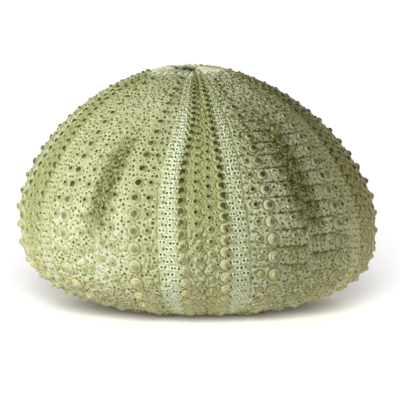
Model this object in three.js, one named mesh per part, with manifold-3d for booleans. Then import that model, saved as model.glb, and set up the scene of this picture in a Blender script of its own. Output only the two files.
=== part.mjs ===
// A dried sea urchin test: the hollow limy shell of a regular urchin, mouth down, spines gone.
// Millimetres, +Z up. The shell stands on a small flat ring round its mouth, at z = 0.

import * as THREE from "three";
import { mergeVertices } from "three/addons/utils/BufferGeometryUtils.js";
import Module from "manifold-3d";

const wasm = await Module();
wasm.setup();

const { degToRad, smoothstep } = THREE.MathUtils;

// The outline is two quarter superellipses that meet at the shell's widest level.
const WIDEST_RADIUS = 32.3;
const WIDEST_LEVEL = 17.3;
const APEX_HEIGHT = 44.0;
const DOME_POWERS = { across: 1.94, upward: 1.53 };
const BASE_POWERS = { across: 1.17, upward: 3.95 };
const REST_RING = { inner: 9.8, outer: 11.4 };
const WALL = 1.4;

// The mouth below and the hole above, both open to the hollow inside.
const MOUTH_RADIUS = 8.7;
const TOP_HOLE_RADIUS = 3.3;
const DISC_RADIUS = 6.4;

// How far this shell strays from a round and upright one.
const LEAN = -0.05;
const SWELL = 0.006;
const TOP_SHIFT = 1.1;

// Five narrow zones with tube-foot pores and five wide ones between them. The first narrow
// zone looks along -Y.
const RAYS = 5;
const RAY_TURN = (2 * Math.PI) / RAYS;
const FIRST_RAY = degToRad(-88);

// Half the angle of a narrow zone. It widens towards the mouth.
function narrowHalfTurn(along) {
  return degToRad(13.2 + 1.6 * smoothstep(along, 18, 34) + 5 * smoothstep(along, 50, 77));
}

// Each plate of a zone carries one main knob, at a share of the way from the zone's middle to its
// edge. Knobs are pointed near the top and blunt lower down, and plates grow along the outline.
const WIDE_ZONE = {
  firstPlate: 8.6,
  plateHeight: (along) => 1.8 + 0.0295 * along,
  halfTurn: (along) => RAY_TURN / 2 - narrowHalfTurn(along),
  knobAt: (along) => 0.7 - 0.07 * smoothstep(along, 10, 38) - 0.08 * smoothstep(along, 48, 75),
  knobRadius: (along) => 0.52 + 0.68 * smoothstep(along, 12, 58),
  bluntFrom: 52,
  sides: 5,
};
const NARROW_ZONE = {
  firstPlate: 12.8,
  plateHeight: (along) => 1.33 + 0.0004 * along ** 2,
  halfTurn: narrowHalfTurn,
  knobAt: (along) => 0.32 + 0.155 * smoothstep(along, 16, 38) - 0.03 * smoothstep(along, 44, 54),
  knobRadius: (along) => 0.4 + 0.3 * smoothstep(along, 8, 15) + 0.28 * smoothstep(along, 20, 54),
  bluntFrom: Infinity,
  sides: 4,
};
const KNOB_CROWN = 0.38;
const KNOB_ROOT = 0.35;
const CLEAR_OF_REST = 13.6;

// A knob's height as a share of its radius. The knobs underneath are flatter.
function knobHeightShare(along) {
  return 0.66 - 0.26 * smoothstep(along, 56, 66);
}

// Plates of the disc round the top hole, and the small cuts round the mouth for the gills.
const LARGE_DISC_PLATE = { foot: 1.5, crown: 1.1, height: 0.3, sides: 6 };
const SMALL_DISC_PLATE = { foot: 0.8, crown: 0.5, height: 0.3, sides: 5 };
const GILL_CUT = { radius: 0.7, reach: 0.55, offset: degToRad(15) };

const SEGMENTS = 40;
const ROWS = { outside: 16, inside: 6 };
const BEND_WEIGHT = 14;
const HIDDEN_DETAIL = 0.08;

// One quarter of a superellipse, from its widest point to its pole.
function quarter(poleRadius, rise, widest, { across, upward }) {
  const steps = 160;
  return Array.from({ length: steps + 1 }, (_, i) => {
    const angle = (i / steps) * (Math.PI / 2);
    const radius = poleRadius + (widest - poleRadius) * Math.cos(angle) ** (2 / across);
    return new THREE.Vector2(radius, WIDEST_LEVEL + rise * Math.sin(angle) ** (2 / upward));
  });
}

// The outline from the middle of the top to the outer edge of the rest ring, sunk by an inset.
function outlineSunkBy(inset) {
  const widest = WIDEST_RADIUS - inset;
  const dome = quarter(0, APEX_HEIGHT - WIDEST_LEVEL - inset, widest, DOME_POWERS).reverse();
  const base = quarter(REST_RING.outer, inset - WIDEST_LEVEL, widest, BASE_POWERS);
  const path = new THREE.CurvePath();
  const points = [...dome, ...base.slice(1)];
  for (let i = 1; i < points.length; i++) path.add(new THREE.LineCurve(points[i - 1], points[i]));
  return path;
}

const outline = outlineSunkBy(0);
const OUTLINE_LENGTH = outline.getLength();

// Points along an outline below the top hole, closer together where it bends.
function rowsOf(path, rows) {
  const fine = 600;
  const points = path.getSpacedPoints(fine).filter((point) => point.x >= TOP_HOLE_RADIUS);
  const reached = [0];
  let heading = points[1].clone().sub(points[0]);
  for (let i = 1; i < points.length; i++) {
    const step = points[i].clone().sub(points[i - 1]);
    const bend = Math.abs(Math.atan2(heading.cross(step), heading.dot(step)));
    reached.push(reached[i - 1] + step.length() + BEND_WEIGHT * bend);
    heading = step;
  }
  const whole = reached[reached.length - 1];
  return Array.from({ length: rows + 1 }, (_, row) => {
    const index = reached.findIndex((value) => value >= (whole * row) / rows - 1e-9);
    return points[index];
  });
}

// The closed section of the wall. It runs down inside, round the lip of the mouth and up outside.
function wallSection() {
  const outside = rowsOf(outline, ROWS.outside);
  const lip = [
    new THREE.Vector2(REST_RING.inner, 0),
    new THREE.Vector2(MOUTH_RADIUS, WALL / 2),
    new THREE.Vector2(REST_RING.inner, WALL),
  ];
  const inside = rowsOf(outlineSunkBy(WALL), ROWS.inside).reverse();
  return [...outside, ...lip, ...inside, outside[0]].reverse();
}

// Joins equal points of a geometry and hands it over for cutting and joining.
function solidOf(geometry) {
  const positions = new THREE.BufferGeometry();
  positions.setAttribute("position", geometry.getAttribute("position"));
  positions.setIndex(geometry.getIndex());
  const merged = mergeVertices(positions, 1e-4);
  return new wasm.Manifold(
    new wasm.Mesh({
      numProp: 3,
      vertProperties: merged.getAttribute("position").array,
      triVerts: new Uint32Array(merged.getIndex().array),
    }),
  );
}

function geometryOf(solid) {
  const mesh = solid.getMesh();
  const geometry = new THREE.BufferGeometry();
  geometry.setAttribute("position", new THREE.BufferAttribute(new Float32Array(mesh.vertProperties), 3));
  geometry.setIndex(new THREE.BufferAttribute(new Uint32Array(mesh.triVerts), 1));
  return geometry;
}

// A blunt or pointed cone on the origin along +Y. Its flank runs on into the wall.
function knobGeometry({ foot, crown, height, sides }) {
  const flare = ((foot - crown) / height) * KNOB_ROOT;
  const profile = [
    new THREE.Vector2(0, -KNOB_ROOT),
    new THREE.Vector2(foot + flare, -KNOB_ROOT),
    new THREE.Vector2(crown, height),
  ];
  if (crown > 0) profile.push(new THREE.Vector2(0, height));
  return new THREE.LatheGeometry(profile, sides);
}

// The zones meet a little to the +X side of the middle of the top.
function azimuthAt(along, radius, direction) {
  const shift = TOP_SHIFT * (1 - smoothstep(along, 20, 40));
  return direction - (shift * Math.sin(direction)) / radius;
}

// Stands a geometry on the shell, its +Y outward, at a distance along the outline.
function onShell(geometry, along, direction) {
  const point = outline.getPointAt(along / OUTLINE_LENGTH);
  const tangent = outline.getTangentAt(along / OUTLINE_LENGTH);
  const outward = new THREE.Vector3(-tangent.y, 0, tangent.x);
  const downward = new THREE.Vector3(tangent.x, 0, tangent.y);
  const place = new THREE.Matrix4().makeBasis(downward, outward, downward.clone().cross(outward));
  place.setPosition(point.x, 0, point.y);
  place.premultiply(new THREE.Matrix4().makeRotationZ(azimuthAt(along, point.x, direction)));
  return geometry.clone().applyMatrix4(place);
}

// The main knobs of one column. The two columns of a zone stand half a plate apart.
function knobColumn(zone, middle, side, isLater) {
  const found = [];
  let along = zone.firstPlate + (isLater ? zone.plateHeight(zone.firstPlate) / 2 : 0);
  while (along < OUTLINE_LENGTH) {
    const point = outline.getPointAt(along / OUTLINE_LENGTH);
    if (point.y < WIDEST_LEVEL && point.x < CLEAR_OF_REST) break;
    const offset = zone.knobAt(along) * zone.halfTurn(along);
    const foot = zone.knobRadius(along);
    const crown = along < zone.bluntFrom ? 0 : foot * KNOB_CROWN;
    const height = foot * knobHeightShare(along);
    const knob = knobGeometry({ foot, crown, height, sides: zone.sides });
    found.push(solidOf(onShell(knob, along, middle + side * offset)));
    along += zone.plateHeight(along + zone.plateHeight(along) / 2);
  }
  return found;
}

function knobs() {
  const found = [];
  for (let ray = 0; ray < RAYS; ray++) {
    const middle = FIRST_RAY + ray * RAY_TURN;
    found.push(...knobColumn(NARROW_ZONE, middle, -1, false));
    found.push(...knobColumn(NARROW_ZONE, middle, 1, true));
    found.push(...knobColumn(WIDE_ZONE, middle + RAY_TURN / 2, -1, true));
    found.push(...knobColumn(WIDE_ZONE, middle + RAY_TURN / 2, 1, false));
  }
  return found;
}

// Five large plates and five small ones round the top hole.
function discPlates() {
  const large = knobGeometry(LARGE_DISC_PLATE);
  const small = knobGeometry(SMALL_DISC_PLATE);
  const found = [];
  for (let ray = 0; ray < RAYS; ray++) {
    const middle = FIRST_RAY + ray * RAY_TURN;
    found.push(solidOf(onShell(large, (TOP_HOLE_RADIUS + DISC_RADIUS) / 2, middle + RAY_TURN / 2)));
    found.push(solidOf(onShell(small, DISC_RADIUS - SMALL_DISC_PLATE.foot, middle)));
  }
  return found;
}

function gillCuts() {
  const found = [];
  for (let ray = 0; ray < RAYS; ray++) {
    for (const side of [-1, 1]) {
      const cut = new THREE.CylinderGeometry(GILL_CUT.radius, GILL_CUT.radius, 4 * WALL, 8);
      cut.rotateX(Math.PI / 2);
      cut.translate(MOUTH_RADIUS + GILL_CUT.reach - GILL_CUT.radius, 0, 0);
      cut.rotateZ(FIRST_RAY + ray * RAY_TURN + side * GILL_CUT.offset);
      found.push(solidOf(cut));
    }
  }
  return found;
}

// The room under the surface that the shell stands on.
function belowTheFloor() {
  const slab = new THREE.BoxGeometry(4 * WIDEST_RADIUS, 4 * WIDEST_RADIUS, WIDEST_RADIUS);
  slab.translate(0, 0, -WIDEST_RADIUS / 2);
  return solidOf(slab);
}

// Gives the round shell its slight five-fold swell and its lean, and centres its box on the origin.
function settle(geometry) {
  const places = geometry.getAttribute("position");
  for (let i = 0; i < places.count; i++) {
    const level = places.getZ(i);
    const direction = Math.atan2(places.getY(i), places.getX(i));
    const round = 1 - SWELL * Math.cos(RAYS * (direction - FIRST_RAY));
    places.setXYZ(i, places.getX(i) * round + LEAN * level, places.getY(i) * round, level);
  }
  geometry.computeBoundingBox();
  const middle = geometry.boundingBox.getCenter(new THREE.Vector3());
  geometry.translate(-middle.x, -middle.y, -geometry.boundingBox.min.z);
  geometry.computeVertexNormals();
  return geometry;
}

function shellGeometry() {
  const wall = new THREE.LatheGeometry(wallSection(), SEGMENTS);
  wall.rotateX(Math.PI / 2);
  wall.rotateZ(FIRST_RAY);
  const joined = wasm.Manifold.union([solidOf(wall), ...knobs(), ...discPlates()]);
  const cut = joined.subtract(wasm.Manifold.union([belowTheFloor(), ...gillCuts()]));
  return settle(geometryOf(cut.asOriginal().simplify(HIDDEN_DETAIL)));
}

const dryLime = new THREE.MeshStandardMaterial({
  name: "dry_lime",
  color: new THREE.Color(0.62, 0.65, 0.42),
  roughness: 0.75,
  metalness: 0,
});

const urchin = new THREE.Group();
const shell = new THREE.Mesh(shellGeometry(), dryLime);
shell.name = "urchin_shell";
urchin.add(shell);

export default urchin;
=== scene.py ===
"""Dresses a dried sea urchin shell: ten zones of plates, knobs and pores round a hollow dome."""

import math
import random

import bmesh
import bpy
import numpy as np
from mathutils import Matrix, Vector


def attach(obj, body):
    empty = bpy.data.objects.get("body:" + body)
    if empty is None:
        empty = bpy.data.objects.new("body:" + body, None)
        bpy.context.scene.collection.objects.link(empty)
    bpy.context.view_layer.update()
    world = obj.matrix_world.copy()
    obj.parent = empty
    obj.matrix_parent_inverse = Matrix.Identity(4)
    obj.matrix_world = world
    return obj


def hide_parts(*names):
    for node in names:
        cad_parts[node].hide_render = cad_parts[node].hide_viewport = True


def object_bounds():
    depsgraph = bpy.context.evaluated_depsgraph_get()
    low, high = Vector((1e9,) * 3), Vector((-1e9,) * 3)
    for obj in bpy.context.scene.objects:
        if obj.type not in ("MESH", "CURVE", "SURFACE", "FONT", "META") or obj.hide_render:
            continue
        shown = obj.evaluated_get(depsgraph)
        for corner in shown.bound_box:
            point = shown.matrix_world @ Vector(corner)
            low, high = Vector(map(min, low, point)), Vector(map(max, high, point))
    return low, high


bl_info = {
    "name": "Sea Urchin Shell",
    "version": (1, 0, 0),
    "blender": (4, 5, 0),
    "location": "View3D > Sidebar > Urchin",
    "description": "Builds a dried sea urchin shell with its knobs, pores and plates",
    "category": "Object",
}

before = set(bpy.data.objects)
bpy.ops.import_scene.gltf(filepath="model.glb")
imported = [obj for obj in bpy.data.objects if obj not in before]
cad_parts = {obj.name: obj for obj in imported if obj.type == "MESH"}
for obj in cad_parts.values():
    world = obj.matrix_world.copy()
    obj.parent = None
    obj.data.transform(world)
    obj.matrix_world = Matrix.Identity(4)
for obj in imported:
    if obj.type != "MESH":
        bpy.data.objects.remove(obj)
SOLID_LOW, SOLID_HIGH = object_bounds()

# The shell's pattern is worked out in millimetres and placed in metres.
MM = 0.001
SOLID_WIDTH = (SOLID_HIGH[0] - SOLID_LOW[0]) / MM
SOLID_HEIGHT = (SOLID_HIGH[2] - SOLID_LOW[2]) / MM

# Five narrow zones, and five wide zones between them. The first narrow zone looks along -Y.
RAYS = 5
RAY_TURN = 2 * math.pi / RAYS
FIRST_RAY = math.radians(-88)
NARROW, WIDE = "narrow", "wide"

# The outline is two quarter superellipses that meet at the shell's widest level.
DOME_POWERS = (1.94, 1.53)
BASE_POWERS = (1.17, 3.95)
REST_RING = (9.8, 11.4)

# Plates grow along the outline, from their first one at the top.
WIDE_FIRST_PLATE = 8.6
NARROW_FIRST_PLATE = 8.7

BARRED_RAY = 0

# Painted shade: on the right-hand zones, turned from the key light, the dark rings round the knobs are
# stronger and the ground gets a tan tint.
SHADED_SIDE = {(NARROW, 1): 0.7, (WIDE, 1): 0.5}

# The zones that face the camera get a finer grid of points.
FRONT_ZONES = ((NARROW, 0), (WIDE, 0), (WIDE, 4))

# The wall's inner side is stained near the top hole.
INNER_MASKS = {"line": 1.0}

MASKS = ("pit", "core", "dark", "cream", "warm", "band", "pale", "rim", "line", "shade")


def smooth(value, low, high):
    """0 below low, 1 above high, and an even ease between."""
    share = np.clip((value - low) / (high - low), 0.0, 1.0)
    return share * share * (3.0 - 2.0 * share)


def ridge(value, middle, spread):
    """A soft ridge of height 1 at the middle."""
    return np.exp(-(((value - middle) / spread) ** 2))


def patch(value, middle, spread):
    """A flat-topped patch of height 1 at the middle."""
    return np.exp(-(((value - middle) / spread) ** 4))


# Settings


class UrchinShape(bpy.types.PropertyGroup):
    """The sizes of the bare shell."""

    widest_radius: bpy.props.FloatProperty(
        name="Widest radius",
        description="Radius of the wall at its widest level, without the knobs",
        default=0.975 * SOLID_WIDTH / 2 * MM,
        unit="LENGTH",
    )
    widest_level: bpy.props.FloatProperty(
        name="Widest level",
        description="Height of the widest level above the surface it stands on",
        default=0.392 * SOLID_HEIGHT * MM,
        unit="LENGTH",
    )
    apex_height: bpy.props.FloatProperty(
        name="Apex height",
        description="Height that the dome would reach without its top hole",
        default=0.997 * SOLID_HEIGHT * MM,
        unit="LENGTH",
    )
    wall: bpy.props.FloatProperty(
        name="Wall", description="Thickness of the wall", default=1.4 * MM, unit="LENGTH"
    )
    rim_wall: bpy.props.FloatProperty(
        name="Rim wall",
        description="Thickness of the wall at the top hole",
        default=0.8 * MM,
        unit="LENGTH",
    )
    hole_radius: bpy.props.FloatProperty(
        name="Top hole", description="Radius of the top hole", default=3.3 * MM, unit="LENGTH"
    )
    mouth_radius: bpy.props.FloatProperty(
        name="Mouth", description="Radius of the mouth below", default=8.7 * MM, unit="LENGTH"
    )
    lean: bpy.props.FloatProperty(
        name="Lean", description="Sideways drift of the shell for each unit of height", default=-0.05
    )
    swell: bpy.props.FloatProperty(
        name="Swell", description="How far the wide zones bulge, as a share of the radius", default=0.006
    )
    top_shift: bpy.props.FloatProperty(
        name="Top shift",
        description="How far the zones meet to the right of the middle of the top",
        default=1.1 * MM,
        unit="LENGTH",
    )


class UrchinRelief(bpy.types.PropertyGroup):
    """How strongly the plates, knobs and pores stand out."""

    row_step: bpy.props.FloatProperty(
        name="Row step",
        description="Distance between the rows of points down the shell",
        default=0.225 * MM,
        unit="LENGTH",
    )
    narrow_columns: bpy.props.IntProperty(
        name="Narrow columns", description="Steps across one narrow zone", default=84
    )
    wide_columns: bpy.props.IntProperty(
        name="Wide columns", description="Steps across one wide zone", default=112
    )
    front_detail: bpy.props.FloatProperty(
        name="Front detail", description="How much finer the steps are on the zones in front", default=1.5
    )
    knob_height: bpy.props.FloatProperty(
        name="Knob height", description="Height of a knob as a share of its radius", default=0.88
    )
    pore_depth: bpy.props.FloatProperty(
        name="Pore depth", description="Depth of a tube-foot pore", default=0.17 * MM, unit="LENGTH"
    )
    suture_depth: bpy.props.FloatProperty(
        name="Suture depth",
        description="Depth of the seams between plates",
        default=0.07 * MM,
        unit="LENGTH",
    )


def colour_setting(name, description, colour):
    return bpy.props.FloatVectorProperty(
        name=name, description=description, default=colour, subtype="COLOR", size=3, min=0, max=1
    )


class UrchinPaint(bpy.types.PropertyGroup):
    """The colours of the dry lime."""

    ground: colour_setting("Ground", "Pale green lime of the wide zones", (0.40, 0.42, 0.225))
    pored: colour_setting("Pored ground", "Greener lime of the narrow zones", (0.32, 0.348, 0.152))
    patch: colour_setting("Patch", "Duller lime in cloudy patches", (0.22, 0.235, 0.10))
    chalk: colour_setting("Chalk", "Whitish lime of the pored bands", (0.42, 0.47, 0.27))
    bleached: colour_setting("Bleached", "Whitish worn patches of ground", (0.56, 0.585, 0.46))
    white: colour_setting("White rim", "Whitish rims of the pores", (0.80, 0.86, 0.70))
    cream: colour_setting("Cream", "Yellowish lime of the large knobs", (0.52, 0.525, 0.29))
    warm: colour_setting("Warm rim", "Tan rim of the lowest knobs", (0.52, 0.32, 0.10))
    olive: colour_setting("Olive", "Dark olive knob tips and granules", (0.030, 0.028, 0.006))
    seam: colour_setting("Seam", "Olive of seams and pores", (0.125, 0.130, 0.007))
    black: colour_setting("Black", "Depth of the open pores", (0.012, 0.010, 0.004))
    moss: colour_setting("Moss", "Olive ground under the stains", (0.20, 0.21, 0.06))
    stain: colour_setting("Stain", "Dark speckle of the stains", (0.062, 0.064, 0.032))
    roughness: bpy.props.FloatProperty(
        name="Roughness", description="Roughness of the dry lime", default=0.7, min=0, max=1
    )


class UrchinStage(bpy.types.PropertyGroup):
    """The camera, floor and lights."""

    camera_elevation: bpy.props.FloatProperty(
        name="Camera elevation",
        description="Angle of the camera above the floor",
        default=math.radians(8),
        subtype="ANGLE",
    )
    camera_distance: bpy.props.FloatProperty(
        name="Camera distance", description="From the camera to the shell", default=1.2, unit="LENGTH"
    )
    picture_width: bpy.props.FloatProperty(
        name="Picture width", description="Width of the view at the shell", default=0.0729, unit="LENGTH"
    )
    aim: bpy.props.FloatVectorProperty(
        name="Aim", description="Point in the middle of the view", default=(0.0005, 0.0, 0.0194), unit="LENGTH"
    )
    key_power: bpy.props.FloatProperty(
        name="Key light", description="Power of the light on the left", default=11.2, unit="POWER"
    )
    fill_power: bpy.props.FloatProperty(
        name="Fill light", description="Power of the light from the front", default=2.2, unit="POWER"
    )
    floor_power: bpy.props.FloatProperty(
        name="Floor light", description="Power of the light that washes the floor", default=29.0, unit="POWER"
    )
    sky: bpy.props.FloatProperty(
        name="Sky", description="Strength of the even light all round", default=0.30
    )


# The outline of the wall


def quarter(pole_radius, rise, widest, level, powers):
    """Radius and level of one quarter superellipse, from its widest point to its pole."""
    across, upward = powers
    angle = np.linspace(0, math.pi / 2, 400)
    radius = pole_radius + (widest - pole_radius) * np.cos(angle) ** (2 / across)
    return radius, level + rise * np.sin(angle) ** (2 / upward)


class Outline:
    """The outer outline in millimetres, found by the distance along it from the pole."""

    def __init__(self, shape):
        widest = shape.widest_radius / MM
        level = shape.widest_level / MM
        top = shape.apex_height / MM
        dome = quarter(0, top - level, widest, level, DOME_POWERS)
        base = quarter(REST_RING[1], -level, widest, level, BASE_POWERS)
        self.radii = np.concatenate([dome[0][::-1], base[0][1:]])
        self.levels = np.concatenate([dome[1][::-1], base[1][1:]])
        steps = np.hypot(np.diff(self.radii), np.diff(self.levels))
        self.reached = np.concatenate([[0.0], np.cumsum(steps)])
        self.length = float(self.reached[-1])
        self.widest = widest
        self.level = level
        self.hole = shape.hole_radius / MM

    def radius(self, along):
        return np.interp(along, self.reached, self.radii)

    def height(self, along):
        return np.interp(along, self.reached, self.levels)

    def normal(self, along):
        step = 0.4
        low = np.clip(along - step, 0, self.length)
        high = np.clip(along + step, 0, self.length)
        out = np.stack([self.height(low) - self.height(high), self.radius(high) - self.radius(low)])
        return out / np.hypot(*out)


def narrow_half_turn(along, outline):
    """Half the angle that a narrow zone takes up. It widens towards the mouth."""
    low = smooth(along, 50, outline.length)
    return math.radians(13.2) + math.radians(1.6) * smooth(along, 18, 34) + math.radians(5) * low


def zone_half_turn(kind, along, outline):
    narrow = narrow_half_turn(along, outline)
    return narrow if kind == NARROW else RAY_TURN / 2 - narrow


class Section:
    """The closed section of the wall: rows of points with what each needs to be placed."""

    def __init__(self, shape, row_step):
        outline = Outline(shape)
        self.outline = outline
        wall = shape.wall / MM
        mouth = shape.mouth_radius / MM
        start = float(np.interp(outline.hole, outline.radii[:400], outline.reached[:400]))
        fine_end = outline.length - 10
        outer = np.concatenate(
            [
                np.linspace(start, fine_end, int((fine_end - start) / row_step)),
                np.linspace(fine_end, outline.length, int(10 / (1.7 * row_step)))[1:],
            ]
        )
        ring = np.linspace(REST_RING[1], REST_RING[0], 8)[1:]
        bend = np.linspace(0, math.pi, 9)[1:-1]
        inner = np.linspace(outline.length, start, 28)
        thickness = shape.rim_wall / MM + (wall - shape.rim_wall / MM) * smooth(inner, start, start + 12)
        out = outline.normal(outer)
        back = outline.normal(inner)
        lip = REST_RING[0] - mouth
        self.radius = np.concatenate(
            [
                outline.radius(outer),
                ring,
                REST_RING[0] - lip * np.sin(bend),
                np.maximum(outline.radius(inner) - back[0] * thickness, outline.hole * 0.98),
            ]
        )
        self.level = np.concatenate(
            [
                outline.height(outer),
                np.zeros(len(ring)),
                wall / 2 - wall / 2 * np.cos(bend),
                np.maximum(outline.height(inner) - back[1] * thickness, wall),
            ]
        )
        self.normal = np.concatenate(
            [
                out,
                np.stack([np.zeros(len(ring)), -np.ones(len(ring))]),
                np.stack([-np.sin(bend), -np.cos(bend)]),
                -back,
            ],
            axis=1,
        )
        self.along = np.concatenate(
            [
                outer,
                outline.length + REST_RING[1] - ring,
                np.full(len(bend), outline.length + REST_RING[1] - REST_RING[0]),
                inner,
            ]
        )
        self.patterned = len(outer) + len(ring)
        self.lip = np.zeros(len(self.along))
        self.lip[self.patterned : self.patterned + len(bend)] = np.sin(bend)


# The pattern on one zone


class Zone:
    """One zone's grid of heights and masks, in millimetres, rows down and columns across."""

    def __init__(self, kind, ray, section, columns):
        self.kind = kind
        self.ray = ray
        self.section = section
        self.outline = section.outline
        self.middle = FIRST_RAY + ray * RAY_TURN + (RAY_TURN / 2 if kind == WIDE else 0)
        self.along = section.along[: section.patterned]
        self.across = np.linspace(-1, 1, columns + 1)
        self.half = zone_half_turn(kind, self.along, self.outline) * section.radius[: section.patterned]
        self.height = np.zeros((len(self.along), columns + 1))
        self.masks = {name: np.zeros_like(self.height) for name in MASKS}
        self.placed = []
        self.barred = kind == WIDE and ray == BARRED_RAY
        # The knob rings' extra darkness is partly dirt and partly painted shade in the barred zone, and
        # painted shade on the right-hand zones.
        self.dirt_and_shade = 1.0 if self.barred else SHADED_SIDE.get((kind, ray), 0.0)
        self.dice = random.Random(100 * ray + (7 if kind == WIDE else 3))

    def half_at(self, along):
        return float(np.interp(along, self.along, self.half))

    def near(self, along, across, reach):
        """The part of the grid round a point, with each place's distance from it."""
        rows = slice(*np.searchsorted(self.along, (along - reach, along + reach)))
        share = reach / self.half_at(along)
        columns = slice(*np.searchsorted(self.across, (across - share, across + share)))
        down = (self.along[rows] - along)[:, None]
        aside = (self.across[columns] - across)[None, :] * self.half[rows][:, None]
        return (rows, columns), np.hypot(down, aside)

    def raise_mask(self, name, window, value):
        mask = self.masks[name]
        mask[window] = np.maximum(mask[window], value)

    def room_for(self, along, across, radius, gap):
        """Whether a new granule would stand clear of all that is already placed."""
        half = self.half_at(along)
        for other_along, other_across, other_radius in self.placed:
            if abs(other_along - along) > 3.2:
                continue
            aside = (other_across - across) * half
            if math.hypot(other_along - along, aside) < radius + other_radius + gap:
                return False
        return True


def plates(first, height_of, is_later, length):
    """Middles and heights of one column's plates. A later column starts half a plate on."""
    along = first + (height_of(first) / 2 if is_later else 0)
    found = []
    while along < length:
        height = height_of(along)
        found.append((along, height))
        along += height_of(along + height / 2)
    return found


def wide_plate_height(along):
    return 1.8 + 0.0295 * along


def narrow_plate_height(along):
    return 1.33 + 0.0004 * along**2


def put_knob(zone, along, across, radius, relief, tone):
    """One knob: a boss with a rim, and a round head in a groove on top of it."""
    window, distance = zone.near(along, across, 1.4 * radius)
    rho = distance / radius
    low = float(smooth(along, 34, 52))
    fine = 0.1 / radius
    head_share = 0.64 - 0.09 * low
    boss = 0.3 * (1 - smooth(rho, 0.78, 1.04))
    head = 0.5 * np.sqrt(np.clip(1 - (rho / head_share) ** 2, 0, 1))
    groove = 0.07 * ridge(rho, head_share + 0.06, 0.07)
    moat = 0.09 * ridge(rho, 1.1, 0.12)
    dimple = 0.06 * low * ridge(rho, 0, 0.14)
    rise = relief.knob_height * radius * (1 - 0.3 * float(smooth(along, 58, 68)))
    zone.height[window] += rise * (boss + head - groove - moat - dimple)
    edge = head_share - 0.12 * low
    zone.raise_mask("dark", window, tone * (1 - smooth(rho, edge - 0.1, edge + 0.06)))
    zone.raise_mask("dark", window, 0.4 * low * ridge(rho, 0.2, fine))
    zone.raise_mask("cream", window, (0.5 + 0.3 * low) * (1 - smooth(rho, 0.92, 1.1)))
    zone.raise_mask("line", window, (0.3 + 0.12 * low) * ridge(rho, head_share + 0.06, fine))
    # Partly dirt and partly painted shade in the barred zone, painted shade on the right-hand zones: darker
    # outer and black rings round the knob.
    zone.raise_mask("line", window, (0.6 + 0.1 * low + 0.3 * zone.dirt_and_shade) * ridge(rho, 1.08, fine))
    zone.raise_mask("core", window, 0.75 * zone.dirt_and_shade * (1 - low) * ridge(rho, 1.1, fine))
    warm = 0.3 + 0.7 * float(smooth(along, 50, 58))
    zone.raise_mask("warm", window, warm * low * ridge(rho, 1.0, 1.6 * fine))
    zone.placed.append((along, across, radius))


def put_granule(zone, along, across, radius, relief, tone):
    """One small round grain with a pale ring."""
    window, distance = zone.near(along, across, 1.9 * radius)
    rho = distance / radius
    bump = 0.66 * np.sqrt(np.clip(1 - rho**2, 0, 1))
    moat = 0.12 * ridge(rho, 1.2, 0.16)
    zone.height[window] += relief.knob_height * radius * (bump - moat)
    deep = tone * (0.95 - 0.35 * float(smooth(along, 25, 45)))
    zone.raise_mask("line", window, tone * (1 - smooth(rho, 0.85, 1.2)))
    zone.raise_mask("dark", window, deep * (1 - smooth(rho, 0.5, 0.9)))
    zone.raise_mask("cream", window, 0.8 * ridge(rho, 1.5, 0.3))
    zone.placed.append((along, across, radius))


def put_pore(zone, along, across, radius, relief, core):
    """One tube-foot pore: a pit with a pale raised rim."""
    window, distance = zone.near(along, across, 2.4 * radius)
    rho = distance / radius
    pit = relief.pore_depth / MM * (1 - smooth(rho, 0.5, 1.1))
    rim = 0.07 * ridge(rho, 1.6, 0.35)
    zone.height[window] += rim - pit
    whiteness = (1.0 if zone.ray == 0 else 0.5) * (0.4 + 0.6 * float(smooth(along, 14, 26)))
    # Painted shade: the rims on each narrow zone's right-hand half are less white. This stands in for the
    # shade on the front zone's right-hand band.
    if across > 0:
        whiteness *= 0.8
    zone.raise_mask("pit", window, 0.9 * (1 - smooth(rho, 0.8, 1.2)))
    zone.raise_mask("rim", window, whiteness * ridge(rho, 1.5, 0.3))
    zone.raise_mask("core", window, core * (1 - smooth(rho, 0.4, 0.9)))
    zone.placed.append((along, across, radius))


def scatter_granules(zone, step, radii, relief, tones, low_edge, high_edge):
    """Fills the free ground with small grains on a shaken grid."""
    along = WIDE_FIRST_PLATE - 1.5
    while along < zone.along[-1]:
        half = zone.half_at(along)
        count = max(2, int(2 * half / step))
        for i in range(count + 1):
            across = -1 + 2 * (i + zone.dice.uniform(0.1, 0.9)) / (count + 1)
            if not low_edge < abs(across) < high_edge:
                continue
            here = along + zone.dice.uniform(-0.3, 0.3) * step
            radius = zone.dice.uniform(*radii)
            tone = zone.dice.uniform(*tones)
            if zone.room_for(here, across, radius, 0.16):
                put_granule(zone, here, across, radius, relief, tone)
        along += step * 0.62


def plate_phase(along, first, height_of, length, is_later):
    """How many plates lie above each place, so that whole numbers are the seams."""
    middles = plates(first, height_of, is_later, length + 6)
    places = [middle for middle, _ in middles]
    counts = np.arange(len(places)) + 0.5
    return np.interp(along, places, counts)


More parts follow.
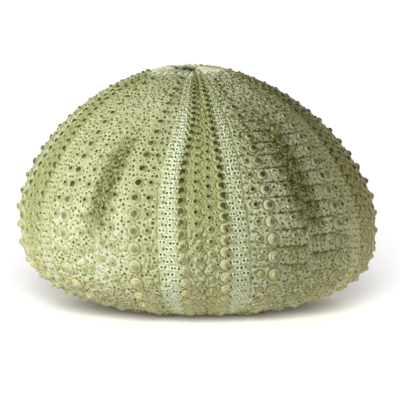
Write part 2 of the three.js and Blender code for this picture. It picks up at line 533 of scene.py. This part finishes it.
def cut_seams(zone, first, height_of, zigzag, relief):
    """The seams between plates: one zigzag down the middle and one across at every plate."""
    depth = relief.suture_depth / MM
    later = plate_phase(zone.along, first, height_of, zone.outline.length, True)
    sooner = plate_phase(zone.along, first, height_of, zone.outline.length, False)
    swing = 2 * np.abs(sooner - np.floor(sooner) - 0.5) * 2 - 1
    bend = zigzag * swing * np.minimum(1, zone.half / 6)
    aside = zone.across[None, :] * zone.half[:, None]
    middle = np.abs(aside - bend[:, None])
    pitch = np.array([height_of(value) for value in zone.along])
    first_side = aside < bend[:, None]
    left, right = (sooner, later) if zone.kind == NARROW else (later, sooner)
    offset = np.where(
        first_side,
        np.abs(left - np.round(left))[:, None],
        np.abs(right - np.round(right))[:, None],
    )
    across_gap = offset * pitch[:, None]
    wear_and_shade = 0.5 + 0.5 * np.sin(1.9 * zone.along + 1.3 * np.sin(0.7 * zone.along + zone.ray))[:, None]
    down_seam = ridge(middle, 0, 0.15)
    if zone.kind == NARROW:
        zone.height -= depth * (1.8 * down_seam + 0.3 * ridge(across_gap, 0, 0.13))
        zone.raise_mask("line", ..., down_seam * (0.6 + 0.4 * wear_and_shade))
        return
    zone.height -= depth * (0.8 * down_seam + 0.4 * ridge(across_gap, 0, 0.13))
    zone.raise_mask("line", ..., 0.3 * down_seam * wear_and_shade)
    zone.raise_mask("line", ..., 0.15 * ridge(across_gap, 0, 0.13))
    if zone.barred:
        cut_bars(zone, across_gap, down_seam)


def cut_bars(zone, across_gap, down_seam):
    """Deep dirty grooves that part the plates of one zone into bars."""
    high = smooth(zone.along, 17, 23) * (1 - smooth(zone.along, 48, 55))
    aside = zone.across[None, :] * zone.half[:, None]
    wear = 0.6 + 0.4 * np.sin(2.6 * aside + 1.7 * zone.along[:, None])
    gap = np.abs(across_gap + 0.07 * np.sin(2.9 * aside))
    middle = 1 - smooth(np.abs(zone.across), 0.4, 0.8)
    whole = high[:, None] * (0.35 + 0.65 * middle[None, :])
    zone.height -= whole * (0.3 * ridge(gap, 0, 0.26) + 0.1 * down_seam)
    zone.raise_mask("line", ..., 0.95 * whole * ridge(gap, 0, 0.18))
    zone.raise_mask("core", ..., 0.9 * wear * high[:, None] * middle[None, :] * ridge(gap, 0, 0.11))
    zone.raise_mask("line", ..., 0.7 * high[:, None] * down_seam)


def wide_knob_radius(along):
    return 0.62 + 0.58 * float(smooth(along, 12, 58))


def narrow_knob_radius(along):
    return 0.4 + 0.3 * float(smooth(along, 8, 15)) + 0.28 * float(smooth(along, 20, 54))


def narrow_knob_at(along):
    return 0.32 + 0.155 * float(smooth(along, 16, 38)) - 0.03 * float(smooth(along, 44, 54))


def wide_knob_at(along):
    return 0.7 - 0.07 * float(smooth(along, 10, 38)) - 0.08 * float(smooth(along, 48, 75))


def wide_knob_tone(along):
    """Knob heads are dark olive above and pale below the widest level."""
    return 1 - 0.58 * float(smooth(along, 32, 56))


def narrow_knob_tone(along):
    return 1 - 0.65 * float(smooth(along, 36, 56))


# The further knobs of a wide plate: share across, share of a plate up, radius above and below.
FURTHER_KNOBS = ((0.85, 0.05, 0.26, 0.68), (0.27, 0.15, 0.25, 0.64), (0.11, 0.27, 0.21, 0.52))
PLATE_GRAINS = ((0.93, 0.5, 0.30), (0.72, 0.5, 0.28), (0.44, 0.45, 0.29), (0.18, 0.42, 0.26))


def pattern_wide_zone(zone, relief):
    """Main knobs, three further knobs and smaller grains on every plate, then more between."""
    length = zone.outline.length + 2
    for side, is_later in ((-1, True), (1, False)):
        for along, height in plates(WIDE_FIRST_PLATE, wide_plate_height, is_later, length):
            across = side * wide_knob_at(along)
            radius = wide_knob_radius(along)
            tone = wide_knob_tone(along) * zone.dice.uniform(0.85, 1.0)
            put_knob(zone, along, across + zone.dice.uniform(-0.01, 0.01), radius, relief, tone)
            if along < 11:
                continue
            grown = float(smooth(along, 14, 46))
            for place, rise, small, large in FURTHER_KNOBS:
                size = (small + (large - small) * grown) * zone.dice.uniform(0.9, 1.1)
                here = along - rise * height + zone.dice.uniform(-0.1, 0.1)
                put_knob(zone, here, side * place, size, relief, min(1, tone + 0.2))
            for place, drop, size in PLATE_GRAINS:
                if zone.dice.random() < 0.85:
                    here = along + drop * height
                    put_granule(zone, here, side * place, size, relief, zone.dice.uniform(0.6, 1.0))
    scatter_granules(zone, 0.98, (0.16, 0.29), relief, (0.75, 1.0), 0.03, 0.97)
    cut_seams(zone, WIDE_FIRST_PLATE, wide_plate_height, 0.5, relief)


# One plate's tube-foot pores: share of the band from its outer edge, and share of a plate down.
PORE_PAIRS = (((0.13, 0.29), 0.0, 0.1), ((0.58, 0.71), 0.08, 0.15), ((0.40, 0.58), 0.56, 0.9))
LONE_PORE = (0.88, 0.12, 0.25)
BAND_GRAINS = ((0.24, 0.52, 0.7), (0.97, 0.55, 1.0))
BAND_INNER_EDGE = 0.5


def pattern_narrow_zone(zone, relief):
    """Knob columns, and a band of pores in arcs along each side."""
    length = zone.outline.length + 2
    for side, is_later in ((-1, False), (1, True)):
        for along, height in plates(NARROW_FIRST_PLATE, narrow_plate_height, is_later, length):
            radius = narrow_knob_radius(along)
            tone = narrow_knob_tone(along) * zone.dice.uniform(0.9, 1.0)
            across = side * narrow_knob_at(along) + zone.dice.uniform(-0.01, 0.01)
            put_knob(zone, along, across, radius, relief, tone)
            if along > 18:
                inner = (0.34 + 0.3 * float(smooth(along, 20, 48))) * zone.dice.uniform(0.88, 1.1)
                here = along + 0.1 * height
                put_knob(zone, here, side * 0.15, inner, relief, min(1, tone + 0.2))
            put_pore_arc(zone, side, along, height, relief)
    scatter_granules(zone, 0.95, (0.14, 0.23), relief, (0.6, 1.0), 0.03, 0.47)
    cut_seams(zone, NARROW_FIRST_PLATE, narrow_plate_height, 0.34, relief)
    shape_bands(zone)


def put_pore_arc(zone, side, along, height, relief):
    """The pores and two grains of one plate's share of a band."""
    size = min(1.0, 0.6 + zone.half_at(along) / 18)
    fades = float(smooth(along, 56, 64))
    opened = float(smooth(along, 14, 20))
    open_pore = float(smooth(along, 30, 42))
    holes = [(share, drop, core) for pair, drop, core in PORE_PAIRS for share in pair]
    holes.append(LONE_PORE)
    darkest = PORE_PAIRS[-1][0][0]
    for share, drop, _ in holes:
        across = side * (1 - share * (1 - BAND_INNER_EDGE))
        radius = size * zone.dice.uniform(0.2, 0.25) * (0.8 + 0.2 * opened) * (1 - 0.3 * fades)
        is_open = share == darkest or zone.dice.random() < 0.1
        darkness = (0.9 if is_open else 0.0) * open_pore
        put_pore(zone, along + (drop - 0.3) * height, across, radius, relief, darkness * (1 - fades))
    for share, drop, tone in BAND_GRAINS:
        across = side * (1 - share * (1 - BAND_INNER_EDGE))
        here = along + (drop - 0.3) * height
        put_granule(zone, here, across, 0.27 * size, relief, tone * zone.dice.uniform(0.8, 1.0))


def shape_bands(zone):
    """The pored bands are chalky and stand a little proud."""
    share = np.abs(zone.across)[None, :] * np.ones_like(zone.height)
    band = smooth(share, BAND_INNER_EDGE - 0.05, BAND_INNER_EDGE + 0.04) * (1 - smooth(share, 0.97, 1.0))
    full = 0.75 if zone.ray == 0 else 0.28
    fade = full - 0.4 * smooth(zone.along, 55, 63)[:, None]
    zone.height += 0.06 * band
    # Painted shade: the band on each narrow zone's right-hand half is less chalky. This stands in for the
    # shade on the front zone's right-hand band.
    wear_and_shade = 1 - 0.3 * smooth(zone.across, -0.2, 0.2)
    zone.raise_mask("band", ..., band * fade * wear_and_shade)


def shape_edges(zone):
    """The seam between a narrow and a wide zone, shared by both."""
    aside = (1 - np.abs(zone.across))[None, :] * zone.half[:, None]
    along = zone.along[:, None]
    wear_and_shade = 0.55 + 0.45 * np.sin(2.3 * along + 2 * np.sin(0.9 * along))
    strength = (0.25 + 0.35 * smooth(along, 24, 44)) * smooth(along, 6, 12)
    zone.height *= 1 - ridge(aside, 0, 0.12)
    zone.height -= 0.06 * ridge(aside, 0, 0.24)
    zone.raise_mask("line", ..., strength * wear_and_shade * ridge(aside, 0, 0.28))


def shape_disc(zone):
    """The plates round the top hole: five large ones with a small hole and five small ones."""
    start = float(zone.along[0])
    along = zone.along[:, None]
    share = np.abs(zone.across)[None, :]
    if zone.kind == WIDE:
        end = start + 3.3
        plate = smooth(along, start - 0.2, start + 0.3) * (1 - smooth(along, end - 0.7 + 0.5 * share, end))
        plate = plate * (1 - smooth(share, 0.86, 0.98))
        rise = 0.16
    else:
        plate = smooth(along, start + 1.3, start + 1.8) * (1 - smooth(along, start + 3.0, start + 3.5))
        plate = plate * (1 - smooth(share, 0.8, 1.0))
        rise = 0.12
    zone.height += rise * plate
    zone.raise_mask("cream", ..., 0.5 * plate)
    cover = (1 - smooth(along, start + 2, start + 5.5)) * np.ones_like(zone.height)
    for name in ("line", "dark", "pit", "core"):
        zone.masks[name] *= 1 - 0.8 * cover
    zone.raise_mask("pale", ..., 1.6 * cover)
    zone.height += 0.12 * cover * np.sin(5.1 * zone.across[None, :] * zone.half[:, None] + zone.ray)
    if zone.kind == WIDE:
        window, distance = zone.near(start + 2.3, 0, 0.8)
        zone.height[window] -= 0.35 * (1 - smooth(distance, 0.15, 0.42))
        zone.raise_mask("core", window, 1 - smooth(distance, 0.12, 0.36))


# Stained ground: zone kind, ray, middle and spread along, middle, spread and slant across, strength.
STAINS = (
    (WIDE, 4, 35.0, 9.5, 0.08, 0.2, -0.01, 1.0),
    (WIDE, 0, 34.0, 10.5, 0.0, 0.25, 0.008, 1.0),
    (WIDE, 0, 25.0, 8.0, -0.25, 0.5, 0.0, 0.45),
    # The fourth entry darkens the lower part of the front-right wide zone as a whole.
    (WIDE, 0, 54.0, 9.0, 0.05, 0.9, 0.0, 0.35),
    (WIDE, 2, 38.0, 8.0, 0.10, 0.3, 0.01, 0.3),
)


def stain_ground(zone):
    down = zone.along[:, None]
    for kind, ray, along, along_spread, across, across_spread, slant, strength in STAINS:
        if kind == zone.kind and ray == zone.ray:
            aside = zone.across[None, :] - slant * (down - along)
            spot = patch(down, along, along_spread) * patch(aside, across, across_spread)
            zone.raise_mask("shade", ..., strength * spot)
    if zone.barred:
        zone.masks["core"] *= 0.4 + 0.6 * smooth(zone.masks["shade"], 0, 0.5)
    if zone.kind == WIDE:
        pale = 0.3 + 0.4 * smooth(down, 34, 46) * (1 - 0.6 * smooth(down, 58, 68))
        pale = pale * (1 - 0.5 * ridge(zone.across, 0.8, 0.3)) + (0.3 if zone.barred else 0)
    else:
        pale = 0.55 * smooth(down, 38, 54) * np.ones_like(zone.height)
    zone.raise_mask("pale", ..., pale * (1 - zone.masks["shade"]))
    if not zone.barred:
        # Painted shade: a tan tint over the right-hand zones, for the brownish shade on that side of the
        # shell.
        zone.raise_mask("warm", ..., 0.45 * zone.dirt_and_shade)


def rough_ground(zone):
    """Slow swells and a fine grit that keep the plates from lying dead smooth."""
    along = zone.along[:, None]
    aside = zone.across[None, :] * zone.half[:, None]
    phase = zone.dice.uniform(0, 6)
    zone.height += 0.03 * np.sin(1.7 * aside + phase) * np.sin(2.1 * along + 0.7 * phase)
    zone.height += 0.02 * np.sin(4.3 * aside + 2 * phase) * np.sin(3.7 * along + phase)
    grit = np.random.default_rng(zone.ray).standard_normal(zone.height.shape)
    for axis in (0, 1):
        grit = (np.roll(grit, 1, axis) + 2 * grit + np.roll(grit, -1, axis)) / 4
    zone.height += 0.15 * grit


def pattern_zone(zone, relief):
    if zone.kind == WIDE:
        pattern_wide_zone(zone, relief)
    else:
        pattern_narrow_zone(zone, relief)
    rough_ground(zone)
    shape_disc(zone)
    shape_edges(zone)
    stain_ground(zone)
    lift = 0.3 * smooth(zone.along, zone.outline.length - 6, zone.outline.length)
    zone.height -= lift[:, None]


# Meshes


def spin_wedge(section, middle, half_turn, columns):
    """A closed wedge of wall: its section as a loop of points, spun and capped."""
    wedge = bmesh.new()
    row_layer = wedge.verts.layers.int.new("row")
    column_layer = wedge.verts.layers.int.new("column")
    start = middle - half_turn
    ring = []
    for row, (radius, level) in enumerate(zip(section.radius, section.level)):
        place = (radius * math.cos(start) * MM, radius * math.sin(start) * MM, level * MM)
        point = wedge.verts.new(place)
        point[row_layer] = row
        ring.append(point)
    edges = [wedge.edges.new((ring[i - 1], ring[i])) for i in range(len(ring))]
    bmesh.ops.spin(
        wedge,
        geom=ring + edges,
        cent=(0, 0, 0),
        axis=(0, 0, 1),
        angle=2 * half_turn,
        steps=columns,
        use_duplicate=False,
    )
    turn = 2 * half_turn / columns
    for point in wedge.verts:
        swept = (math.atan2(point.co.y, point.co.x) - start) % (2 * math.pi)
        column = round(swept / turn)
        point[column_layer] = column if column <= columns else 0
    ends = [edge for edge in wedge.edges if edge.is_boundary]
    caps = bmesh.ops.holes_fill(wedge, edges=ends, sides=0)["faces"]
    bmesh.ops.triangulate(wedge, faces=caps)
    bmesh.ops.recalc_face_normals(wedge, faces=wedge.faces)
    for face in wedge.faces:
        face.smooth = len({point[column_layer] for point in face.verts}) > 1
    for edge in wedge.edges:
        if len({face.smooth for face in edge.link_faces}) > 1:
            edge.smooth = False
    return wedge


def place_points(zone, shape, row, column):
    """Where every point of a wedge belongs, in metres."""
    section = zone.section
    outline = zone.outline
    along = section.along[row]
    across = zone.across[column]
    half_turn = zone_half_turn(zone.kind, np.minimum(along, outline.length), outline)
    direction = zone.middle + across * half_turn
    radius = section.radius[row]
    shift = shape.top_shift / MM * (1 - smooth(along, 20, 40))
    direction = direction - shift * np.sin(direction) / np.maximum(radius, outline.hole)
    height = np.zeros(len(row))
    inside = row < section.patterned
    height[inside] = zone.height[row[inside], column[inside]]
    normal = section.normal[:, row]
    rim = 1 - smooth(along, zone.along[0], zone.along[0] + 2.5)
    ragged = 0.28 * np.sin(3 * direction + 0.6) + 0.16 * np.sin(8 * direction + 1.9)
    overhang = 1.7 * ridge(np.arctan2(np.sin(direction), np.cos(direction)), -0.25, 0.8)
    gills = gill_cuts(direction) * section.lip[row]
    out = radius + normal[0] * height + rim * (ragged - overhang) + gills
    sag = 0.25 * ragged - 0.06 * overhang + 0.12 * np.maximum(0, -np.sin(direction))
    level = np.maximum(section.level[row] + normal[1] * height - rim * sag, 0)
    out = out * (1 - shape.swell * np.cos(RAYS * (direction - FIRST_RAY)))
    lean = shape.lean * (level - outline.level)
    places = np.stack([out * np.cos(direction) + lean, out * np.sin(direction), level], axis=1)
    return np.clip(places * MM, SOLID_LOW, SOLID_HIGH)


def gill_cuts(direction):
    """Ten notches in the mouth's edge, two beside each narrow zone."""
    cuts = np.zeros_like(direction)
    for ray in range(RAYS):
        for side in (-1, 1):
            middle = FIRST_RAY + ray * RAY_TURN + side * math.radians(15)
            away = np.arctan2(np.sin(direction - middle), np.cos(direction - middle))
            cuts = cuts + 0.55 * ridge(away, 0, 0.06)
    return cuts


def make_zone_piece(name, zone, shape, material):
    columns = len(zone.across) - 1
    half_turn = RAY_TURN / 4
    wedge = spin_wedge(zone.section, zone.middle, half_turn, columns)
    mesh = bpy.data.meshes.new(name)
    wedge.to_mesh(mesh)
    wedge.free()
    count = len(mesh.vertices)
    row = np.empty(count, dtype=np.int32)
    column = np.empty(count, dtype=np.int32)
    mesh.attributes["row"].data.foreach_get("value", row)
    mesh.attributes["column"].data.foreach_get("value", column)
    places = place_points(zone, shape, row, column)
    mesh.vertices.foreach_set("co", places.astype(np.float32).ravel())
    inside = row < zone.section.patterned
    for mask in MASKS:
        values = np.zeros(count, dtype=np.float32)
        values[inside] = zone.masks[mask][row[inside], column[inside]]
        values[~inside] = INNER_MASKS.get(mask, 0) * (1 - smooth(zone.section.along[row[~inside]], 9, 15))
        mesh.attributes.new(mask, "FLOAT", "POINT").data.foreach_set("value", values)
    mesh.attributes.remove(mesh.attributes["row"])
    mesh.attributes.remove(mesh.attributes["column"])
    mesh.materials.append(material)
    mesh.update()
    piece = bpy.data.objects.new(name, mesh)
    bpy.context.collection.objects.link(piece)
    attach(piece, "root")
    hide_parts("urchin_shell")
    return piece


def make_zones(kind, columns, material):
    settings = bpy.context.scene
    relief = settings.urchin_relief
    for ray in range(RAYS):
        finer = relief.front_detail if (kind, ray) in FRONT_ZONES else 1.0
        section = Section(settings.urchin_shape, relief.row_step / MM / finer)
        zone = Zone(kind, ray, section, round(columns * finer))
        pattern_zone(zone, relief)
        make_zone_piece(f"{kind}_zone_{ray + 1}", zone, settings.urchin_shape, material)


# Materials


def new_group(name, inputs, outputs):
    group = bpy.data.node_groups.new(name, "ShaderNodeTree")
    for label, kind, value in inputs:
        socket = group.interface.new_socket(label, in_out="INPUT", socket_type=kind)
        socket.default_value = value
    for label, kind in outputs:
        group.interface.new_socket(label, in_out="OUTPUT", socket_type=kind)
    return group, group.nodes.new("NodeGroupInput"), group.nodes.new("NodeGroupOutput")


def math_node(tree, operation, first, second):
    node = tree.nodes.new("ShaderNodeMath")
    node.operation = operation
    for socket, value in zip(node.inputs, (first, second)):
        if isinstance(value, (int, float)):
            socket.default_value = value
        else:
            tree.links.new(value, socket)
    return node.outputs[0]


def mix_colour(tree, share, base, top):
    node = tree.nodes.new("ShaderNodeMix")
    node.data_type = "RGBA"
    for name, value in (("Factor_Float", share), ("A_Color", base), ("B_Color", top)):
        socket = next(s for s in node.inputs if s.identifier == name)
        if isinstance(value, bpy.types.NodeSocket):
            tree.links.new(value, socket)
        elif isinstance(value, (int, float)):
            socket.default_value = value
        else:
            socket.default_value = (*value, 1)
    return next(s for s in node.outputs if s.identifier == "Result_Color")


def noise(tree, place, scale, detail, low, high):
    """A noise pattern spread out between two levels."""
    node = tree.nodes.new("ShaderNodeTexNoise")
    node.inputs["Scale"].default_value = scale
    node.inputs["Detail"].default_value = detail
    tree.links.new(place, node.inputs["Vector"])
    spread = tree.nodes.new("ShaderNodeMapRange")
    spread.inputs["From Min"].default_value = low
    spread.inputs["From Max"].default_value = high
    tree.links.new(node.outputs["Fac"], spread.inputs["Value"])
    return spread.outputs["Result"]


def object_place(tree):
    return tree.nodes.new("ShaderNodeTexCoord").outputs["Object"]


def mask_value(tree, name):
    node = tree.nodes.new("ShaderNodeAttribute")
    node.attribute_name = name
    return node.outputs["Fac"]


def build_lime_group(paint):
    """Cloudy ground lime with fine speckle, and a height for its grain."""
    inputs = (
        ("Light", "NodeSocketColor", (*paint.ground, 1)),
        ("Dull", "NodeSocketColor", (*paint.patch, 1)),
        ("Speckle", "NodeSocketFloat", 0.5),
    )
    outputs = (("Color", "NodeSocketColor"), ("Grain", "NodeSocketFloat"))
    group, given, result = new_group("Cloudy lime", inputs, outputs)
    place = object_place(group)
    clouds = noise(group, place, 150, 3, 0.40, 0.66)
    specks = noise(group, place, 2400, 2, 0.42, 0.66)
    grain = noise(group, place, 3200, 2, 0.25, 0.75)
    share = math_node(group, "MULTIPLY", clouds, 0.6)
    colour = mix_colour(group, share, given.outputs["Light"], given.outputs["Dull"])
    speckled = math_node(group, "MULTIPLY", specks, given.outputs["Speckle"])
    colour = mix_colour(group, speckled, colour, given.outputs["Dull"])
    group.links.new(colour, result.inputs["Color"])
    group.links.new(grain, result.inputs["Grain"])
    return group


def build_marks_group(paint):
    """Lays the knobs, seams, stains and pores over a ground colour, each by its own mask."""
    inputs = (
        ("Ground", "NodeSocketColor", (*paint.ground, 1)),
        ("Cream", "NodeSocketColor", (*paint.cream, 1)),
        ("Seam", "NodeSocketColor", (*paint.seam, 1)),
    )
    group, given, result = new_group("Shell marks", inputs, (("Color", "NodeSocketColor"),))
    place = object_place(group)
    mottle = noise(group, place, 2200, 3, 0.42, 0.58)
    fleck = noise(group, place, 700, 2, 0.38, 0.56)
    blotch = noise(group, place, 1500, 3, 0.44, 0.56)
    whitened = math_node(group, "MULTIPLY", mask_value(group, "pale"), blotch)
    ground = mix_colour(group, whitened, given.outputs["Ground"], paint.bleached)
    ground = mix_colour(group, mask_value(group, "rim"), ground, paint.white)
    colour = mix_colour(group, mask_value(group, "cream"), ground, given.outputs["Cream"])
    shade = mask_value(group, "shade")
    colour = mix_colour(group, math_node(group, "MULTIPLY", shade, 0.55), colour, paint.moss)
    colour = mix_colour(group, math_node(group, "MULTIPLY", shade, mottle), colour, paint.stain)
    # The warm mask carries the tan rims of the lowest knobs and the painted shade tint of the right-hand
    # zones.
    tan_rims_and_shade = math_node(group, "MULTIPLY", mask_value(group, "warm"), fleck)
    colour = mix_colour(group, tan_rims_and_shade, colour, paint.warm)
    colour = mix_colour(group, mask_value(group, "line"), colour, given.outputs["Seam"])
    colour = mix_colour(group, mask_value(group, "dark"), colour, paint.olive)
    colour = mix_colour(group, mask_value(group, "pit"), colour, given.outputs["Seam"])
    colour = mix_colour(group, mask_value(group, "core"), colour, paint.black)
    group.links.new(colour, result.inputs["Color"])
    return group


def shared_group(name, build, paint):
    return bpy.data.node_groups.get(name) or build(paint)


def place_group(tree, group, **values):
    node = tree.nodes.new("ShaderNodeGroup")
    node.node_tree = group
    for name, value in values.items():
        socket = node.inputs[name]
        if isinstance(value, bpy.types.NodeSocket):
            tree.links.new(value, socket)
        elif isinstance(value, (int, float)):
            socket.default_value = value
        else:
            socket.default_value = (*value, 1)
    return node


def lime_material(name, paint, light):
    """Dry lime: cloudy ground, a chalky band where the mask says so, marks, and a fine grain."""
    material = bpy.data.materials.new(name)
    material.use_nodes = True
    tree = material.node_tree
    shader = tree.nodes["Principled BSDF"]
    lime = shared_group("Cloudy lime", build_lime_group, paint)
    marks = shared_group("Shell marks", build_marks_group, paint)
    ground = place_group(tree, lime, Light=light, Dull=paint.patch, Speckle=0.6)
    chalk = place_group(tree, lime, Light=paint.chalk, Dull=paint.ground, Speckle=0.3)
    base = mix_colour(tree, mask_value(tree, "band"), ground.outputs["Color"], chalk.outputs["Color"])
    marked = place_group(tree, marks, Ground=base, Cream=paint.cream, Seam=paint.seam)
    tree.links.new(marked.outputs["Color"], shader.inputs["Base Color"])
    bump = tree.nodes.new("ShaderNodeBump")
    bump.inputs["Distance"].default_value = 0.14 * MM
    bump.inputs["Strength"].default_value = 0.6
    tree.links.new(ground.outputs["Grain"], bump.inputs["Height"])
    tree.links.new(bump.outputs["Normal"], shader.inputs["Normal"])
    shader.inputs["Roughness"].default_value = paint.roughness
    shader.inputs["Specular IOR Level"].default_value = 0.10
    return material


# The stage


def make_floor():
    sheet = bmesh.new()
    bmesh.ops.create_grid(sheet, x_segments=1, y_segments=1, size=3)
    mesh = bpy.data.meshes.new("floor")
    sheet.to_mesh(mesh)
    sheet.free()
    material = bpy.data.materials.new("pale_floor")
    material.use_nodes = True
    shader = material.node_tree.nodes["Principled BSDF"]
    shader.inputs["Base Color"].default_value = (0.93, 0.93, 0.93, 1)
    shader.inputs["Roughness"].default_value = 0.9
    shader.inputs["Emission Color"].default_value = (1, 0.80, 0.80, 1)
    shader.inputs["Emission Strength"].default_value = 0.06
    mesh.materials.append(material)
    floor = bpy.data.objects.new("floor", mesh)
    bpy.context.collection.objects.link(floor)
    return floor


def make_light(name, place, size, power):
    lamp = bpy.data.lights.new(name, "AREA")
    lamp.shape = "DISK"
    lamp.size = size
    lamp.energy = power
    light = bpy.data.objects.new(name, lamp)
    light.location = place
    light.rotation_euler = (Vector((0, 0, 0.02)) - light.location).to_track_quat("-Z", "Y").to_euler()
    bpy.context.collection.objects.link(light)
    return light


def light_only(light, target, state):
    """Limits a light to one object, or to all but that one."""
    receivers = bpy.data.collections.new(f"{light.name}_receivers")
    receivers.objects.link(target)
    receivers.collection_objects[0].light_linking.link_state = state
    light.light_linking.receiver_collection = receivers


def make_camera(stage):
    elevation = stage.camera_elevation
    back = Vector((0, -math.cos(elevation), math.sin(elevation)))
    lens = bpy.data.cameras.new("camera")
    lens.lens = lens.sensor_width * stage.camera_distance / stage.picture_width
    camera = bpy.data.objects.new("camera", lens)
    camera.location = Vector(stage.aim) + back * stage.camera_distance
    camera.rotation_euler = (-back).to_track_quat("-Z", "Y").to_euler()
    bpy.context.collection.objects.link(camera)
    bpy.context.scene.camera = camera


def make_sky(strength):
    world = bpy.data.worlds.new("studio")
    world.use_nodes = True
    background = world.node_tree.nodes["Background"]
    background.inputs["Color"].default_value = (1, 1, 1, 1)
    background.inputs["Strength"].default_value = strength
    bpy.context.scene.world = world


# Operators, panel and registration


class URCHIN_OT_narrow_zones(bpy.types.Operator):
    """Build the five narrow zones with their bands of pores"""

    bl_idname = "urchin.narrow_zones"
    bl_label = "Narrow Zones"

    def execute(self, context):
        paint = context.scene.urchin_paint
        material = lime_material("pored_lime", paint, paint.pored)
        make_zones(NARROW, context.scene.urchin_relief.narrow_columns, material)
        return {"FINISHED"}


class URCHIN_OT_wide_zones(bpy.types.Operator):
    """Build the five wide zones with their columns of large knobs"""

    bl_idname = "urchin.wide_zones"
    bl_label = "Wide Zones"

    def execute(self, context):
        paint = context.scene.urchin_paint
        material = lime_material("knobbed_lime", paint, paint.ground)
        make_zones(WIDE, context.scene.urchin_relief.wide_columns, material)
        return {"FINISHED"}


class URCHIN_OT_stage(bpy.types.Operator):
    """Set up the floor, the lights and the camera"""

    bl_idname = "urchin.stage"
    bl_label = "Stage"

    def execute(self, context):
        stage = context.scene.urchin_stage
        floor = make_floor()
        key = make_light("key_light", (-0.75, -0.42, 0.42), 0.2, stage.key_power)
        fill = make_light("fill_light", (0.25, -0.6, 0.85), 0.8, stage.fill_power)
        front = make_light("front_floor_light", (-0.05, -1.05, 0.45), 0.65, 0.93 * stage.floor_power)
        back = make_light("back_floor_light", (0, 1.3, 0.5), 0.8, 0.3 * stage.floor_power)
        for light in (key, fill):
            light_only(light, floor, "EXCLUDE")
        for light in (front, back):
            light_only(light, floor, "INCLUDE")
        make_camera(stage)
        make_sky(stage.sky)
        context.scene.view_settings.view_transform = "Standard"
        return {"FINISHED"}


class URCHIN_PT_panel(bpy.types.Panel):
    """Lists the settings and the building steps"""

    bl_idname = "URCHIN_PT_panel"
    bl_label = "Sea Urchin Shell"
    bl_space_type = "VIEW_3D"
    bl_region_type = "UI"
    bl_category = "Urchin"

    def draw(self, context):
        column = self.layout.column()
        for operator in OPERATORS:
            column.operator(operator.bl_idname)
        for name, group in SETTINGS.items():
            box = column.box()
            box.label(text=group.__doc__)
            settings = getattr(context.scene, name)
            for setting in group.__annotations__:
                box.prop(settings, setting)


OPERATORS = (URCHIN_OT_narrow_zones, URCHIN_OT_wide_zones, URCHIN_OT_stage)
SETTINGS = {
    "urchin_shape": UrchinShape,
    "urchin_relief": UrchinRelief,
    "urchin_paint": UrchinPaint,
    "urchin_stage": UrchinStage,
}
CLASSES = (*SETTINGS.values(), *OPERATORS, URCHIN_PT_panel)


def register():
    for kind in CLASSES:
        bpy.utils.register_class(kind)
    for name, group in SETTINGS.items():
        setattr(bpy.types.Scene, name, bpy.props.PointerProperty(type=group))


def unregister():
    for name in SETTINGS:
        delattr(bpy.types.Scene, name)
    for kind in reversed(CLASSES):
        bpy.utils.unregister_class(kind)


def main():
    register()
    bpy.ops.urchin.narrow_zones()
    bpy.ops.urchin.wide_zones()
    bpy.ops.urchin.stage()


if __name__ == "__main__":
    main()
